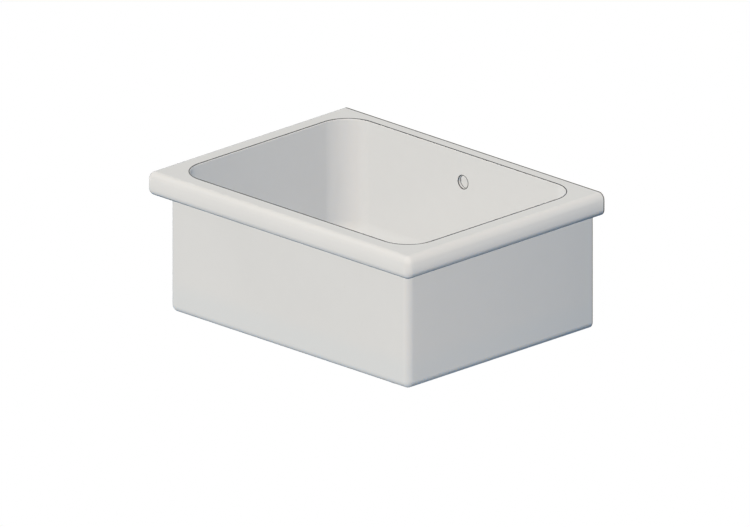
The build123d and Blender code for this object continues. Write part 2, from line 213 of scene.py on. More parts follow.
class Effects:
    """Builds each shared effect once and places it in materials."""

    FINE_CLOUD_RATIO = 7.0
    FINE_CLOUD_SHARE = 0.35
    RING_WANDER = 0.0012
    RING_DETAIL = 3.0
    SMEAR_STRETCH: Point = (1.0, 1.7, 0.6)
    SMEAR_DETAIL = 4.0
    PIT_SHARE = 0.6
    GRAIN_DETAIL = 3.0

    def __init__(self) -> None:
        """Build every group."""
        self.groups: dict[Effect, bpy.types.NodeTree] = {}
        for make in (self._cloud, self._outline, self._turning, self._handling, self._grain):
            make()

    def use(self, sheet: Sheet, effect: Effect, **inputs: Input) -> bpy.types.NodeOutputs:
        """Place an effect in a material and return its outputs."""
        return sheet.add("ShaderNodeGroup", inputs, node_tree=self.groups[effect]).outputs

    def _open(
        self, effect: Effect, takes: dict[str, str], gives: Sequence[str]
    ) -> tuple[Sheet, bpy.types.NodeOutputs]:
        """Start a group and give it its sockets.

        Args:
            effect: The effect.
            takes: Input names, each with Vector or Float.
            gives: Names of the values that it puts out.

        Returns:
            The group's sheet and the sockets that its inputs arrive on.
        """
        tree = self.groups[effect] = bpy.data.node_groups.new(effect.value, "ShaderNodeTree")
        for name, kind in takes.items():
            tree.interface.new_socket(name, in_out="INPUT", socket_type=f"NodeSocket{kind}")
        for name in gives:
            tree.interface.new_socket(name, in_out="OUTPUT", socket_type="NodeSocketFloat")
        sheet = Sheet(tree)
        return sheet, sheet.add("NodeGroupInput").outputs

    def _cloud(self) -> None:
        """Slow unevenness: wide noise with a finer one over it, centred on zero."""
        sheet, takes = self._open(Effect.CLOUD, {"Vector": "Vector", "Scale": "Float"}, ["Value"])
        wide = sheet.noise(takes["Vector"], takes["Scale"])
        finer = sheet.product(takes["Scale"], self.FINE_CLOUD_RATIO)
        fine = sheet.noise(takes["Vector"], finer)
        both = sheet.math("MULTIPLY_ADD", fine, self.FINE_CLOUD_SHARE, wide)
        middle = (1.0 + self.FINE_CLOUD_SHARE) / 2
        sheet.add("NodeGroupOutput", {"Value": sheet.math("SUBTRACT", both, middle)})

    def _outline(self) -> None:
        """Signed distance to an upright wall whose plan is a rounded rectangle.

        With q the point's distance from the centre less the half sizes, both shortened by
        the radius, it is the length of q's positive part plus q's largest negative part,
        less the radius. The corner's share is 0 along the straight walls and 1 in the middle
        of a corner: twice the product of q's positive parts over the sum of their squares. It
        is negative in the front right and back left corners.
        """
        takes_in = {"Vector": "Vector", "Centre": "Vector", "Half": "Vector", "Radius": "Float"}
        sheet, takes = self._open(Effect.OUTLINE, takes_in, ["Distance", "Corner"])
        offset = sheet.vector("SUBTRACT", takes["Vector"], takes["Centre"])
        right, behind, _ = sheet.axes(offset)
        side = sheet.math("SIGN", sheet.product(right, behind))
        reach = sheet.vector("SUBTRACT", sheet.vector("ABSOLUTE", offset), takes["Half"])
        across, along, _ = sheet.axes(reach)
        across = sheet.math("ADD", across, takes["Radius"])
        along = sheet.math("ADD", along, takes["Radius"])
        past_x = sheet.largest(across, 0.0)
        past_y = sheet.largest(along, 0.0)
        squares = sheet.math("MULTIPLY_ADD", past_x, past_x, sheet.product(past_y, past_y))
        inside = sheet.math("MINIMUM", sheet.largest(across, along), 0.0)
        total = sheet.math("ADD", sheet.math("SQRT", squares), inside)
        distance = sheet.math("SUBTRACT", total, takes["Radius"])
        twice = sheet.product(past_x, past_y, 2.0)
        corner = sheet.math("DIVIDE", twice, sheet.largest(squares, TINY_SQUARE))
        corner = sheet.product(corner, side)
        sheet.add("NodeGroupOutput", {"Distance": distance, "Corner": corner})

    def _turning(self) -> None:
        """Fine rings left by turning: noise along the radius and height, wandering a little."""
        takes_in = {"Vector": "Vector", "Centre": "Vector", "Fineness": "Float"}
        sheet, takes = self._open(Effect.TURNING, takes_in, ["Value"])
        offset = sheet.vector("SUBTRACT", takes["Vector"], takes["Centre"])
        across, along, up = sheet.axes(offset)
        squares = sheet.math("MULTIPLY_ADD", across, across, sheet.product(along, along))
        around = sheet.product(sheet.math("ARCTAN2", along, across), self.RING_WANDER)
        read = {0: sheet.math("SQRT", squares), 1: up, 2: around}
        read_at = sheet.add("ShaderNodeCombineXYZ", read).outputs[0]
        rings = sheet.noise(read_at, takes["Fineness"], self.RING_DETAIL)
        sheet.add("NodeGroupOutput", {"Value": rings})

    def _handling(self) -> None:
        """Smears of handling and dried water: stretched noise, kept only at its peaks."""
        takes_in = {"Vector": "Vector", "Scale": "Float", "Cover": "Float"}
        sheet, takes = self._open(Effect.HANDLING, takes_in, ["Mask"])
        bent = sheet.vector("MULTIPLY", takes["Vector"], self.SMEAR_STRETCH)
        smear = sheet.noise(bent, takes["Scale"], self.SMEAR_DETAIL)
        floor = sheet.math("SUBTRACT", 1.0, takes["Cover"])
        sheet.add("NodeGroupOutput", {"Mask": sheet.rise(smear, floor, 1.0)})

    def _grain(self) -> None:
        """Fine pitted grain: small round cells with noise between them."""
        sheet, takes = self._open(Effect.GRAIN, {"Vector": "Vector", "Scale": "Float"}, ["Height"])
        pits = sheet.cells(takes["Vector"], takes["Scale"])["Distance"]
        rough = sheet.noise(takes["Vector"], takes["Scale"], self.GRAIN_DETAIL)
        height = sheet.math("MULTIPLY_ADD", pits, self.PIT_SHARE, rough)
        sheet.add("NodeGroupOutput", {"Height": height})


def open_material(name: str) -> tuple[Sheet, bpy.types.Material]:
    """Start an empty material.

    Args:
        name: The material's name.

    Returns:
        The material's sheet and the material.
    """
    material = bpy.data.materials.new(name)
    material.use_nodes = True
    return Sheet(material.node_tree), material


def close_material(
    sheet: Sheet,
    bump: Socket,
    depth: float,
    shader: dict[str, Input],
    facing: Socket | None = None,
) -> None:
    """Finish a material with its shader and a bump.

    Args:
        sheet: The material's sheet.
        bump: Height of the surface.
        depth: What a height of 1 stands for, in metres.
        shader: Sockets of the shader, by name.
        facing: The surface's own facing, where it isn't the mesh's.
    """
    relief: dict[str, Input] = {"Height": bump, "Distance": depth}
    if facing:
        relief["Normal"] = facing
    normal = sheet.add("ShaderNodeBump", relief).outputs[0]
    surface = sheet.add("ShaderNodeBsdfPrincipled", {**shader, "Normal": normal})
    sheet.add("ShaderNodeOutputMaterial", {"Surface": surface.outputs[0]})


@dataclass(frozen=True)
class RoundedPlan:
    """Plan of an upright wall: a rectangle with round corners, alike to the left and right."""

    half_width: float
    front: float
    back: float
    corner: float

    def measure(self, effects: Effects, sheet: Sheet, place: Socket) -> bpy.types.NodeOutputs:
        """Measure how far a place is from the wall.

        Args:
            effects: The shared effects.
            sheet: The material's sheet.
            place: The place.

        Returns:
            The distance outwards from the wall, and the share of a corner.
        """
        return effects.use(
            sheet,
            Effect.OUTLINE,
            Vector=place,
            Centre=(0.0, (self.front + self.back) / 2, 0.0),
            Half=(self.half_width, (self.back - self.front) / 2, 0.0),
            Radius=self.corner,
        )


@dataclass(frozen=True)
class BasinPlan:
    """Sizes of the basin that its finish reads.

    The box's plan goes on through the wall to as far behind it, so that its back has no edge.
    """

    rim_top: float = 0.040
    box: RoundedPlan = RoundedPlan(half_width=0.273, front=-0.423, back=0.423, corner=0.012)
    box_base: float = -0.200
    bowl: RoundedPlan = RoundedPlan(half_width=0.264, front=-0.414, back=-0.024, corner=0.050)
    bowl_floor: float = -0.173
    floor_curve: float = 0.038
    overflow_radius: float = 0.011
    overflow_level: float = -0.010
    overflow_wall: float = 0.006
    recess: RoundedPlan = RoundedPlan(half_width=0.223, front=-0.373, back=-0.050, corner=0.030)
    recess_roof: float = -0.188


@dataclass(frozen=True)
class Readings:
    """What the glaze reads at a point: its place, the clouding and how far each wall is."""

    sheet: Sheet
    plan: BasinPlan
    place: Socket
    x: Socket
    y: Socket
    z: Socket
    cloud: Socket
    bowl: Socket
    corner: Socket
    recess: Socket
    box: Socket


@dataclass(frozen=True)
class CeramicFinish:
    """Off-white glaze that thins to grey on sharp arrises and stops at the wall and the foot, with
    painted shade along the rim's lower edge.

    A span gives the two values at which a mask is 0 and 1.
    """

    glaze: Colour = (0.800, 0.795, 0.780)
    pooled: Colour = (0.770, 0.785, 0.785)
    thinned: Colour = (0.045, 0.045, 0.047)
    clay: Colour = (0.730, 0.665, 0.565)
    # Colour of the painted shade along the rim's lower edge, not a glaze tone.
    painted_rim_shade: Colour = (0.150, 0.255, 0.345)
    speck: Colour = (0.420, 0.390, 0.340)
    refraction: float = 1.52
    gloss_roughness: float = 0.16
    clay_roughness: float = 0.85
    clay_grain: float = 900.0
    cloud_scale: float = 5.0
    cloud_strength: float = 0.05
    pool_reach: Span = (1.6, 0.5)
    pool_strength: float = 0.7
    speck_scale: float = 55.0
    speck_size: Span = (0.045, 0.02)
    speck_choice: Span = (0.86, 0.90)
    speck_strength: float = 0.35
    lip_start: float = 0.0010
    lip_end: float = 0.0040
    lip_thinning: float = 0.35
    lip_drop: float = 0.0004
    hole_line: float = 0.0012
    hole_inset: float = 0.0003
    hole_reach: float = 0.0005
    wall_reach: float = 0.001
    back_line: float = 0.0032
    end_line: float = 0.0022
    side_line: float = 0.0015
    line_fade: float = 0.0002
    glaze_wander: float = 0.0018
    wall_edge: Span = (-0.0006, -0.0003)
    foot_edge: Span = (0.0022, 0.0012)
    recess_edge: Span = (0.003, 0.002)
    bump_depth: float = 0.0003
    peel_scale: float = 160.0
    peel_height: float = 0.12
    crown_rise: float = 0.0038
    crown_climb: Span = (0.0085, 0.0360)
    crown_power: float = 2.5
    crown_inset: float = 0.016
    # Heights, lower limit and outward reach of the painted shade under the rim's edge.
    painted_shade_heights: Span = (0.0055, 0.0032)
    painted_shade_foot: float = 0.0006
    painted_shade_reach: Span = (0.013, 0.018)
    bow: float = 0.75
    bow_middle: float = -0.212
    bow_border: float = 0.004

    def make(self, effects: Effects, plan: BasinPlan) -> bpy.types.Material:
        """Build the material.

        Args:
            effects: The shared effects.
            plan: Where the basin's edges are.

        Returns:
            The finished material.
        """
        sheet, material = open_material("glazed_ceramic")
        at = self._read(sheet, effects, plan)
        colour = self._glaze_colour(at)
        lines = self._arris_lines(at)
        colour = sheet.blend(lines, colour, rgba(self.thinned))
        # Painted shade: a cool dark band along the rim's lower edge, where the rim turns under.
        colour = sheet.blend(self._painted_rim_shade_mask(at), colour, rgba(self.painted_rim_shade))
        bare = self._bare_clay(at)
        colour = sheet.blend(bare, colour, rgba(self.clay))

        gloss = sheet.math("MULTIPLY_ADD", at.cloud, self.cloud_strength, self.gloss_roughness)
        roughness = sheet.between(bare, gloss, self.clay_roughness)
        grain = effects.use(sheet, Effect.GRAIN, Vector=at.place, Scale=self.clay_grain)["Height"]
        peel = sheet.product(sheet.noise(at.place, self.peel_scale), self.peel_height)
        crown = self._rim_crown(at)
        fuller = sheet.math("MULTIPLY_ADD", crown, self.crown_rise / self.bump_depth, peel)
        height = sheet.between(bare, fuller, grain)
        shader = {"Base Color": colour, "Roughness": roughness, "IOR": self.refraction}
        close_material(sheet, height, self.bump_depth, shader, self._side_bow(at))
        return material

    def _read(self, sheet: Sheet, effects: Effects, plan: BasinPlan) -> Readings:
        """Read the basin at a point.

        Args:
            sheet: The material's sheet.
            effects: The shared effects.
            plan: Where the basin's edges are.

        Returns:
            The readings.
        """
        place = sheet.place()
        x, y, z = sheet.axes(place)
        bowl = plan.bowl.measure(effects, sheet, place)
        return Readings(
            sheet=sheet,
            plan=plan,
            place=place,
            x=x,
            y=y,
            z=z,
            cloud=effects.use(sheet, Effect.CLOUD, Vector=place, Scale=self.cloud_scale)["Value"],
            bowl=bowl["Distance"],
            corner=bowl["Corner"],
            recess=plan.recess.measure(effects, sheet, place)["Distance"],
            box=plan.box.measure(effects, sheet, place)["Distance"],
        )

    def _glaze_colour(self, at: Readings) -> Socket:
        """Cloud the glaze, strew faint specks and pool a cooler tone round the bowl's floor.

        Args:
            at: The readings.

        Returns:
            The glaze's colour.
        """
        sheet, plan = at.sheet, at.plan
        shift = sheet.math("MULTIPLY_ADD", at.cloud, self.cloud_strength, 1.0)
        colour = sheet.scaled(self.glaze, shift)
        low = sheet.rise(at.z, plan.bowl_floor + plan.floor_curve, plan.bowl_floor)
        start, full = self.pool_reach
        near_wall = sheet.rise(at.bowl, -start * plan.floor_curve, -full * plan.floor_curve)
        pool = sheet.product(low, near_wall, self.pool_strength)
        colour = sheet.blend(pool, colour, rgba(self.pooled))
        cells = sheet.cells(at.place, self.speck_scale)
        dots = sheet.rise(cells["Distance"], *self.speck_size)
        few = sheet.rise(sheet.axes(cells["Color"])[0], *self.speck_choice)
        faint = sheet.product(dots, few, self.speck_strength)
        return sheet.blend(faint, colour, rgba(self.speck))

    def _band(self, sheet: Sheet, distance: Socket, low: float, high: Input) -> Socket:
        """Find a strip with soft borders, where a distance is between two values."""
        below = sheet.rise(distance, sheet.math("ADD", high, self.line_fade), high)
        return sheet.product(sheet.rise(distance, low - self.line_fade, low), below)

    def _arris_lines(self, at: Readings) -> Socket:
        """Find the lines of thin glaze at the bowl's lip, the overflow and the back edges.

        The lip's line narrows in the front left and back right corners, by the thinning times
        the corner's share.

        Args:
            at: The readings.

        Returns:
            The lines' mask.
        """
        sheet, plan = at.sheet, at.plan
        narrowing = -self.lip_thinning * self.lip_end
        share = sheet.largest(at.corner, 0.0)
        spread = sheet.math("MULTIPLY_ADD", share, narrowing, self.lip_end)
        upper = sheet.math("GREATER_THAN", at.z, plan.rim_top - self.lip_drop)
        lip = sheet.product(self._band(sheet, at.bowl, self.lip_start, spread), upper)
        on_rim = sheet.math("GREATER_THAN", at.z, 0.0)
        reach = sheet.between(on_rim, self.side_line, self.end_line)
        reach = sheet.between(upper, reach, self.back_line)
        back = sheet.math("GREATER_THAN", at.y, sheet.product(reach, -1.0))
        return sheet.largest(lip, self._hole_lines(at), back)

    def _hole_lines(self, at: Readings) -> Socket:
        """Find the lines of thin glaze at both ends of the overflow hole.

        Args:
            at: The readings.

        Returns:
            The lines' mask.
        """
        sheet, plan = at.sheet, at.plan
        up = sheet.math("SUBTRACT", at.z, plan.overflow_level)
        squares = sheet.math("MULTIPLY_ADD", at.x, at.x, sheet.product(up, up))
        away = sheet.math("SUBTRACT", sheet.math("SQRT", squares), plan.overflow_radius)
        mouth = self._band(sheet, away, -self.hole_inset, self.hole_line)
        wall = plan.bowl.back
        on_wall = self._band(sheet, at.y, wall - self.wall_reach, wall + self.wall_reach)
        inner = wall + plan.overflow_wall
        far_end = self._band(sheet, at.y, inner - self.hole_line, inner)
        in_hole = self._band(sheet, away, -self.hole_reach, self.hole_reach)
        return sheet.largest(sheet.product(mouth, on_wall), sheet.product(far_end, in_hole))

    def _painted_rim_shade_mask(self, at: Readings) -> Socket:
        """Find the band of painted shade along the rim's lower edge: a cool dark line where the
        rim turns under.

        Args:
            at: The readings.

        Returns:
            The line's mask.
        """
        sheet = at.sheet
        down = sheet.rise(at.z, *self.painted_shade_heights)
        off_foot = sheet.rise(at.z, 0.0, self.painted_shade_foot)
        out = sheet.rise(at.box, *self.painted_shade_reach)
        return sheet.product(down, off_foot, out)

    def _rim_crown(self, at: Readings) -> Socket:
        """Crown the rim's outer sides softly.

        With v the share of the way up from the belly to the crown's end, it is the square of
        1 less a power of v. It dies out under the rim, inwards to the box.

        Args:
            at: The readings.

        Returns:
            The share of the crown's full rise.
        """
        sheet = at.sheet
        up = sheet.math("POWER", sheet.ramp(at.z, *self.crown_climb), self.crown_power)
        left = sheet.math("SUBTRACT", 1.0, up)
        out = sheet.ramp(at.box, 0.0, self.crown_inset)
        return sheet.product(left, left, out)

    def _side_bow(self, at: Readings) -> Socket:
        """Bow the two sides a little from front to back.

        The facing leans along the wall by the bow times the distance from the bow's middle and
        times the square of its sideways part. It leans the other way in the bowl.

        Args:
            at: The readings.

        Returns:
            The walls' facing.
        """
        sheet = at.sheet
        facing = sheet.add("ShaderNodeNewGeometry").outputs["Normal"]
        sideways = sheet.axes(facing)[0]
        outside = sheet.math("GREATER_THAN", at.bowl, self.bow_border)
        turn = sheet.math("MULTIPLY_ADD", outside, 2.0, -1.0)
        along = sheet.math("SUBTRACT", at.y, self.bow_middle)
        lean = sheet.product(along, self.bow, sideways, sideways, turn)
        shift = sheet.add("ShaderNodeCombineXYZ", {1: lean}).outputs[0]
        return sheet.vector("NORMALIZE", sheet.vector("ADD", facing, shift))

    def _bare_clay(self, at: Readings) -> Socket:
        """Find the unglazed wall face, foot and recess. The foot's edge wanders.

        Args:
            at: The readings.

        Returns:
            The mask of the bare clay.
        """
        sheet, plan = at.sheet, at.plan
        wall = sheet.rise(at.y, *self.wall_edge)
        lift = sheet.math("ADD", at.z, sheet.product(at.cloud, self.glaze_wander))
        start, full = self.foot_edge
        foot = sheet.rise(lift, plan.box_base + start, plan.box_base + full)
        start, full = self.recess_edge
        under = sheet.rise(at.z, plan.recess_roof + start, plan.recess_roof + full)
        inner = sheet.rise(at.recess, start, full)
        return sheet.largest(wall, foot, sheet.product(under, inner))


@dataclass(frozen=True)
class MetalFinish:
    """Turned or drawn metal with rings about the waste's axis, smears and a duller trace."""

    name: str
    colour: Colour
    dull: Colour
    roughness: float
    ring_fineness: float
    ring_roughness: float
    ring_depth: float
    ring_dulling: float = 0.35
    brushing: float = 0.0
    smear_scale: float = 45.0
    smear_cover: float = 0.42
    smear_dulling: float = 0.5
    smear_roughness: float = 0.12

    def make(self, effects: Effects, centre: Point) -> bpy.types.Material:
        """Build the material.

        Args:
            effects: The shared effects.
            centre: A point on the axis of its rings.

        Returns:
            The finished material.
        """
        sheet, material = open_material(self.name)
        place = sheet.place()
        spoke = sheet.vector("SUBTRACT", place, centre)
        around = sheet.vector("CROSS_PRODUCT", UPRIGHT, spoke)
        rings = effects.use(
            sheet, Effect.TURNING, Vector=place, Centre=centre, Fineness=self.ring_fineness
        )["Value"]
        smear = effects.use(
            sheet, Effect.HANDLING, Vector=place, Scale=self.smear_scale, Cover=self.smear_cover
        )["Mask"]
        smeared = sheet.product(smear, self.smear_dulling)
        dulled = sheet.math("MULTIPLY_ADD", rings, self.ring_dulling, smeared)
        colour = sheet.blend(dulled, rgba(self.colour), rgba(self.dull))
        rough = sheet.math("MULTIPLY_ADD", rings, self.ring_roughness, self.roughness)
        rough = sheet.math("MULTIPLY_ADD", smear, self.smear_roughness, rough)
        shader = {
            "Base Color": colour,
            "Roughness": rough,
            "Metallic": 1.0,
            "Anisotropic": self.brushing,
            "Tangent": around,
        }
        close_material(sheet, rings, self.ring_depth, shader)
        return material


@dataclass(frozen=True)
class MouldedFinish:
    """Moulded plastic or rubber with a fine grain, slow clouding and a little dust."""

    name: str
    colour: Colour
    shade: Colour
    dust: Colour
    roughness: float
    grain_scale: float
    grain_depth: float
    dust_cover: float
    subsurface: float = 0.0
    cloud_scale: float = 30.0
    cloud_swing: Span = (-0.35, 0.35)
    grain_roughness: float = 0.10
    dust_scale: float = 70.0
    dust_strength: float = 0.5
    dust_roughness: float = 0.20

    def make(self, effects: Effects) -> bpy.types.Material:
        """Build the material.

        Args:
            effects: The shared effects.

        Returns:
            The finished material.
        """
        sheet, material = open_material(self.name)
        place = sheet.place()
        cloud = effects.use(sheet, Effect.CLOUD, Vector=place, Scale=self.cloud_scale)["Value"]
        grain = effects.use(sheet, Effect.GRAIN, Vector=place, Scale=self.grain_scale)["Height"]
        dust = effects.use(
            sheet, Effect.HANDLING, Vector=place, Scale=self.dust_scale, Cover=self.dust_cover
        )["Mask"]
        mixed = sheet.rise(cloud, *self.cloud_swing)
        colour = sheet.blend(mixed, rgba(self.colour), rgba(self.shade))
        dusty = sheet.product(dust, self.dust_strength)
        colour = sheet.blend(dusty, colour, rgba(self.dust))
        rough = sheet.math("MULTIPLY_ADD", grain, self.grain_roughness, self.roughness)
        rough = sheet.math("MULTIPLY_ADD", dust, self.dust_roughness, rough)
        shader = {"Base Color": colour, "Roughness": rough, "Subsurface Weight": self.subsurface}
        close_material(sheet, grain, self.grain_depth, shader)
        return material


CERAMIC = CeramicFinish()
SHEET_STEEL = MetalFinish(
    name="brushed_sheet",
    colour=(0.640, 0.640, 0.630),
    dull=(0.470, 0.470, 0.460),
    roughness=0.24,
    ring_fineness=1900.0,
    ring_roughness=0.16,
    ring_depth=0.00002,
    brushing=0.7,
)
FASTENER_STEEL = MetalFinish(
    name="turned_steel",
    colour=(0.560, 0.560, 0.550),
    dull=(0.400, 0.400, 0.390),
    roughness=0.28,
    ring_fineness=3200.0,
    ring_roughness=0.20,
    ring_depth=0.00003,
    brushing=0.5,
)
POLISHED_KNOB = MetalFinish(
    name="mirror_polish",
    colour=(0.750, 0.750, 0.750),
    dull=(0.620, 0.630, 0.640),
    roughness=0.06,
    ring_fineness=900.0,
    ring_roughness=0.05,
    ring_depth=0.000004,
    smear_cover=0.5,
)
BRASS = MetalFinish(
    name="machined_brass",
    colour=(0.720, 0.530, 0.250),
    dull=(0.450, 0.310, 0.140),
    roughness=0.25,
    ring_fineness=3600.0,
    ring_roughness=0.15,
    ring_depth=0.00003,
)
BLACK_RUBBER = MouldedFinish(
    name="seal_rubber",
    colour=(0.030, 0.030, 0.032),
    shade=(0.048, 0.047, 0.047),
    dust=(0.220, 0.215, 0.205),
    roughness=0.58,
    grain_scale=1500.0,
    grain_depth=0.00008,
    dust_cover=0.40,
)
WASTE_PLASTIC = MouldedFinish(
    name="frosted_plastic",
    colour=(0.800, 0.800, 0.780),
    shade=(0.740, 0.745, 0.730),
    dust=(0.620, 0.600, 0.560),
    roughness=0.38,
    grain_scale=1100.0,
    grain_depth=0.00005,
    dust_cover=0.35,
    subsurface=0.08,
)


class Finishes:
    """Makes each slot's material once."""

    def __init__(self, effects: Effects, plan: BasinPlan) -> None:
        """Make every material.

        Args:
            effects: The shared effects.
            plan: Where the basin's edges are.
        """
        self.materials: dict[Slot, bpy.types.Material] = {
            Slot.CERAMIC: CERAMIC.make(effects, plan),
            Slot.SHEET: SHEET_STEEL.make(effects, WASTE_CENTRE),
            Slot.FASTENER: FASTENER_STEEL.make(effects, WASTE_CENTRE),
            Slot.KNOB: POLISHED_KNOB.make(effects, WASTE_CENTRE),
            Slot.RUBBER: BLACK_RUBBER.make(effects),
            Slot.PLASTIC: WASTE_PLASTIC.make(effects),
            Slot.BRASS: BRASS.make(effects, WASTE_CENTRE),
        }

    def dress(self, slot: Slot, *nodes: str) -> None:
        """Give CAD nodes their slot's finish and report each.

        Args:
            slot: The slot.
            nodes: Names of the nodes.
        """
        for node in nodes:
            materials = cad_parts[node].data.materials
            materials.clear()
            materials.append(self.materials[slot])
            log.info("dressed %s in %s", node, self.materials[slot].name)

    def add(
        self,
        name: str,
        mesh: bpy.types.Mesh,
        slot: Slot,
        rider: Rider,
        stands_for: str | None = None,
    ) -> None:
        """Put a new piece in the scene, dressed and riding on its body.

        Args:
            name: The piece's name.
            mesh: Its mesh, in the frame's own place.
            slot: The slot that it takes its finish from.
            rider: The body that it moves with.
            stands_for: The CAD node that it replaces, if any.
        """
        piece = bpy.data.objects.new(name, mesh)
        bpy.context.scene.collection.objects.link(piece)
        mesh.materials.append(self.materials[slot])
        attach(piece, rider.value)
        if stands_for:
            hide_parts(stands_for)
        log.info("built %s with %d faces", name, len(mesh.polygons))


def skin(
    name: str, points: np.ndarray, closed_path: bool, closed_profile: bool, crease: float
) -> bpy.types.Mesh:
    """Make a mesh from a grid of points.

    The grid's first index runs along the path and its second along the profile. Each cell
    becomes one face. An open path with a closed profile gets end faces, and points of an open
    profile that meet on an axis become one.

    Args:
        name: The mesh's name.
        points: Array of path steps by profile points by three.
        closed_path: Whether the path's end meets its start.
        closed_profile: Whether the profile's end meets its start.
        crease: Angle in degrees past which an edge stays sharp.

    Returns:
        The mesh, smooth apart from its sharp edges.
    """
    steps, across, _ = points.shape
    index = np.arange(steps * across).reshape(steps, across)
    rows = index if closed_path else index[:-1]
    ahead = np.roll(index, -1, axis=0)[: len(rows)]
    corners = np.stack(
        (rows, ahead, np.roll(ahead, -1, axis=1), np.roll(rows, -1, axis=1)), axis=-1
    )
    if not closed_profile:
        corners = corners[:, :-1]
    faces = corners.reshape(-1, 4).tolist()
    if closed_profile and not closed_path:
        faces += [index[0].tolist(), index[-1][::-1].tolist()]
    mesh = bpy.data.meshes.new(name)
    mesh.from_pydata(points.reshape(-1, 3).tolist(), [], faces)
    shape = bmesh.new()
    shape.from_mesh(mesh)
    bmesh.ops.remove_doubles(shape, verts=shape.verts, dist=MERGE_REACH)
    shape.to_mesh(mesh)
    shape.free()
    mesh.shade_smooth()
    mesh.set_sharp_from_angle(angle=math.radians(crease))
    return mesh


def around_axis(radius: np.ndarray, angle: np.ndarray, level: np.ndarray) -> np.ndarray:
    """Set points round the waste's axis.

    A point at radius r, level z and angle a is (r cos a, r sin a, z) from the axis.

    Args:
        radius: Distances from the axis.
        angle: Angles round it.
        level: Heights.

    Returns:
        The points.
    """
    x = WASTE_CENTRE[0] + radius * np.cos(angle)
    y = WASTE_CENTRE[1] + radius * np.sin(angle)
    return np.stack((x, y, np.broadcast_to(level, x.shape)), axis=-1)


def turned(
    name: str,
    radius: np.ndarray,
    level: np.ndarray,
    sides: int,
    closed_profile: bool,
    crease: float,
) -> bpy.types.Mesh:
    """Turn a profile about the waste's axis.

    Args:
        name: The mesh's name.
        radius: The profile's distances from the axis, in order up its outer side.
        level: The profile's heights.
        sides: Number of steps round.
        closed_profile: Whether the profile is a loop, or else runs from axis to axis.
        crease: Angle in degrees past which an edge stays sharp.

    Returns:
        The turned mesh.
    """
    angle = np.linspace(0.0, FULL_TURN, sides, endpoint=False)[:, None]
    return skin(name, around_axis(radius, angle, level), True, closed_profile, crease)


@dataclass
class Basin:
    """The ceramic casting."""

    finishes: Finishes

    def dress(self) -> None:
        """Glaze the casting."""
        self.finishes.dress(Slot.CERAMIC, "basin")


@dataclass
class StrainerCup:
    """Drawn steel cup in the floor, with beads pressed into its flange."""

    finishes: Finishes
    flange_top: float = -0.1733
    inner_bead_radius: float = 0.0445
    inner_bead_half: float = 0.0017
    outer_bead_radius: float = 0.0554
    outer_bead_half: float = 0.0009
    bead_height: float = 0.0005
    bead_sides: int = 160
    bead_points: int = 16
    bead_crease: float = 60.0

    def build(self) -> None:
        """Press the two beads."""
        self._bead("flange_inner_bead", self.inner_bead_radius, self.inner_bead_half)
        self._bead("flange_outer_bead", self.outer_bead_radius, self.outer_bead_half)

    def dress(self) -> None:
        """Give the cup and its seal their finishes."""
        self.finishes.dress(Slot.SHEET, "strainer_cup")
        self.finishes.dress(Slot.RUBBER, "cup_seal")

    def _bead(self, name: str, radius: float, half: float) -> None:
        """Press one bead: an ellipse turned about the axis, its middle at the flange's top.

        Args:
            name: The bead's name.
            radius: Its middle's distance from the axis.
            half: Half its width.
        """
        turn = np.linspace(0.0, FULL_TURN, self.bead_points, endpoint=False)
        outline = radius + half * np.cos(turn)
        level = self.flange_top + self.bead_height * np.sin(turn)
        mesh = turned(name, outline, level, self.bead_sides, True, self.bead_crease)
        self.finishes.add(name, mesh, Slot.SHEET, Rider.SINK)


@dataclass
class WasteOutlet:
    """Clamped plastic body with its screw, seals, union nut and tube."""

    finishes: Finishes
    thread_root: float = 0.0236
    thread_crest: float = 0.0251
    thread_pitch: float = 0.0026
    thread_top: float = -0.2444
    thread_bottom: float = -0.2498
    root_half: float = 0.0010
    crest_half: float = 0.0004
    run_out: float = 0.6
    steps_per_turn: int = 72
    thread_crease: float = 40.0

    def build(self) -> None:
        """Cut the thread on the spigot above the nut."""
        mesh = self._thread()
        self.finishes.add("spigot_thread", mesh, Slot.PLASTIC, Rider.SINK)

    def dress(self) -> None:
        """Give the body and everything on it their finishes."""
        self.finishes.dress(Slot.PLASTIC, "waste_body", "outlet_tube", "outlet_nut")
        self.finishes.dress(Slot.RUBBER, "body_seal", "outlet_washer")
        self.finishes.dress(Slot.FASTENER, "screw_washer", "centre_screw")
        self.finishes.dress(Slot.BRASS, "hub_insert")

    def _thread(self) -> bpy.types.Mesh:
        """Carry a trapezoid along a helix.

        At angle a the trapezoid's middle is at the top level less a times the pitch over a full
        turn. Its crest stands out by its full depth, which falls to nothing over the run-out at
        both ends.

        Returns:
            The thread's mesh.
        """
        turns = (self.thread_top - self.thread_bottom) / self.thread_pitch
        angle = np.linspace(0.0, FULL_TURN * turns, int(turns * self.steps_per_turn))[:, None]
        ends = np.minimum(angle, angle[-1] - angle) / self.run_out
        share = np.clip(ends, 0.0, 1.0)
        out = np.array([0.0, 1.0, 1.0, 0.0])
        rise = np.array([-self.root_half, -self.crest_half, self.crest_half, self.root_half])
        radius = self.thread_root + (self.thread_crest - self.thread_root) * out * share
        level = self.thread_top - self.thread_pitch * angle / FULL_TURN + rise
        points = around_axis(radius, angle, level)
        return skin("spigot_thread", points, False, True, self.thread_crease)


